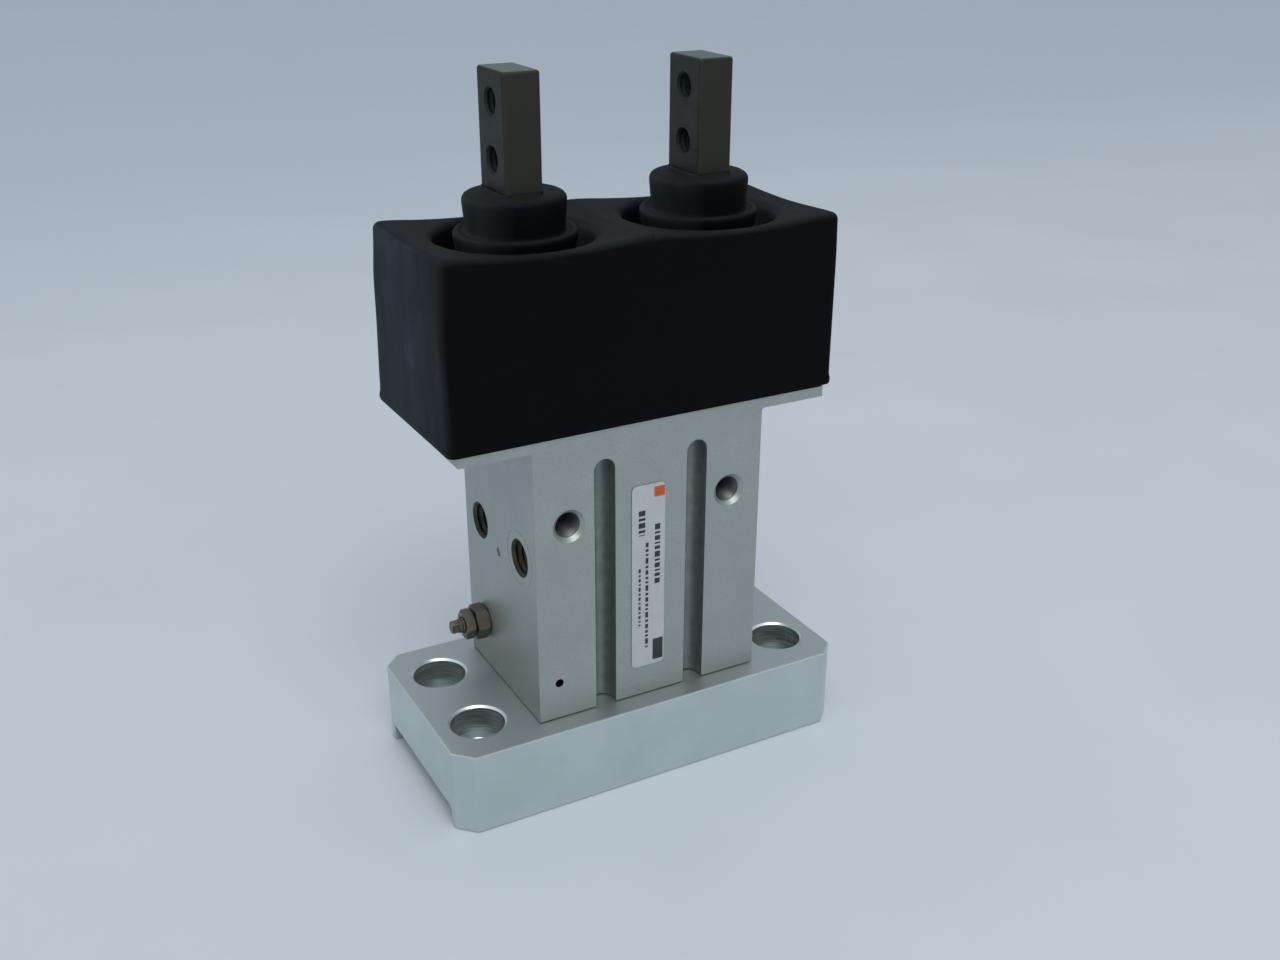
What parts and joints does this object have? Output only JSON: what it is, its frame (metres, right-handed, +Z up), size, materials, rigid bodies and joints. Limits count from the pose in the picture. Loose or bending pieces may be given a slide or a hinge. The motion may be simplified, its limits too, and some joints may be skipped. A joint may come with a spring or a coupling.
{
  "type": "pneumatic gripper",
  "caption": "Two-finger parallel pneumatic gripper with a wedge-cam drive, rubber dust cover with two boots, and a counterbored mounting plate.",
  "frame": {"origin": "centre of the mounting plate's underside", "axes": "+Z up along the fingers, +X along the line on which the fingers open, -Y towards the face with the label"},
  "size_m": [0.065, 0.032, 0.1033],
  "materials": {
    "anodised_body": "clear anodised, fine matte",
    "milled_plate": "milled and clear anodised, satin",
    "cover_rubber": "moulded black rubber with a dusty bloom",
    "seal_rubber": "moulded nitrile",
    "bumper_rubber": "moulded urethane",
    "finger_steel": "dark nitrided, satin",
    "bright_steel": "ground",
    "black_steel": "black oxide",
    "fitting_bronze": "dark plated, satin",
    "bush_bronze": "sintered bronze",
    "magnet": "bonded magnet",
    "label_film": "printed polyester film"
  },
  "bodies": {
    "base": {"base_plate": "milled_plate", "plate_screw_1": "black_steel", "plate_screw_2": "black_steel", "plate_screw_3": "black_steel", "plate_screw_4": "black_steel", "body": "anodised_body", "label": "label_film", "cylinder_cap": "milled_plate", "cap_seal": "seal_rubber", "cap_snap_ring": "bright_steel", "passage_plug": "bright_steel", "lower_bumper": "bumper_rubber", "upper_bumper": "bumper_rubber", "rod_seal": "seal_rubber", "rod_bush": "bush_bronze", "guide_rail_front": "bright_steel", "guide_rail_rear": "bright_steel", "guide_screw_1": "black_steel", "guide_screw_2": "black_steel", "guide_screw_3": "black_steel", "guide_screw_4": "black_steel", "dust_cover": "cover_rubber", "needle_holder": "fitting_bronze", "needle_lock_nut": "fitting_bronze"},
    "piston_group": {"piston": "milled_plate", "piston_seal": "seal_rubber", "piston_magnet": "magnet", "piston_nut": "bright_steel", "piston_rod": "bright_steel", "wedge_cam": "bright_steel", "cam_screw": "black_steel"},
    "finger_left_group": {"finger_left": "finger_steel", "cam_pin_left": "bright_steel", "boot_left": "cover_rubber"},
    "finger_right_group": {"finger_right": "finger_steel", "cam_pin_right": "bright_steel", "boot_right": "cover_rubber"},
    "needle_group": {"needle": "fitting_bronze"}
  },
  "joints": [
    {"name": "piston_slide", "type": "slide", "parent": "base", "child": "piston_group", "axis": [0, 0, 1], "range_m": [-0.0035, 0.0035]},
    {"name": "finger_left_slide", "type": "slide", "parent": "base", "child": "finger_left_group", "axis": [-1, 0, 0], "range_m": [-0.003, 0.003]},
    {"name": "finger_right_slide", "type": "slide", "parent": "base", "child": "finger_right_group", "axis": [1, 0, 0], "range_m": [-0.003, 0.003]},
    {"name": "needle_turn", "type": "hinge", "parent": "base", "child": "needle_group", "pos_m": [-0.0182, 0.00696, 0.0207], "axis": [-1, 0, 0], "range_deg": [-360, 720]}
  ],
  "couplings": [
    {"joint": "finger_left_slide", "follows": "piston_slide", "ratio": 0.85714},
    {"joint": "finger_right_slide", "follows": "piston_slide", "ratio": 0.85714}
  ]
}
